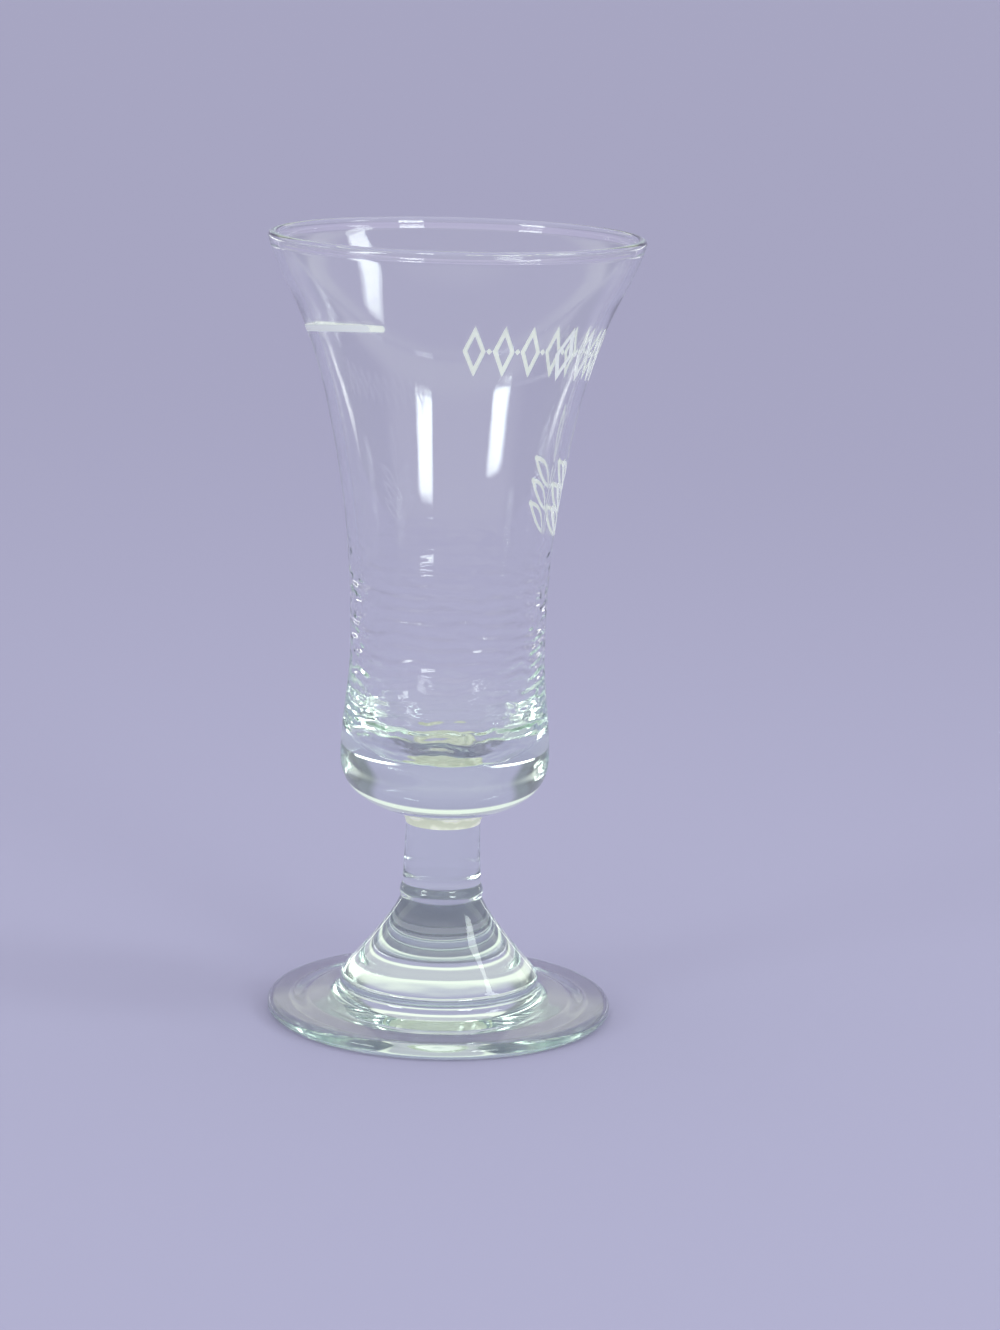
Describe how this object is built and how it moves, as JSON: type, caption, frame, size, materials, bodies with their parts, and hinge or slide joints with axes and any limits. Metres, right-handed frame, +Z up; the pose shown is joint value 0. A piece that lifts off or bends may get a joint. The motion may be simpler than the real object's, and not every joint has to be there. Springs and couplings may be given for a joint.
{
  "type": "cordial glass",
  "caption": "Small stemmed glass with a tall flared bowl, thick solid base, short stem and round foot, with a fill line and a printed leaf and lozenge decal.",
  "frame": {"origin": "centre of the resting ring under the foot, on the surface that the glass stands on", "axes": "+Z up along the axis of the glass; -X through the middle of the fill line; -Y towards the viewer of the picture"},
  "size_m": [0.054, 0.054, 0.115],
  "materials": {
    "foot_glass": "clear soda-lime glass with a faint green tint, fire polished",
    "stem_glass": "clear soda-lime glass with a faint green tint, fire polished",
    "collar_glass": "clear fused glass with a faint yellow-green tint",
    "bowl_glass": "clear soda-lime glass, fire polished, with slight ripples inside the floor",
    "enamel": null
  },
  "bodies": {
    "root": {"foot": "foot_glass", "stem": "stem_glass", "joint_collar": "collar_glass", "bowl": "bowl_glass", "fill_line": "enamel", "enamel_frieze": "enamel", "enamel_sprig": "enamel"}
  },
  "joints": []
}
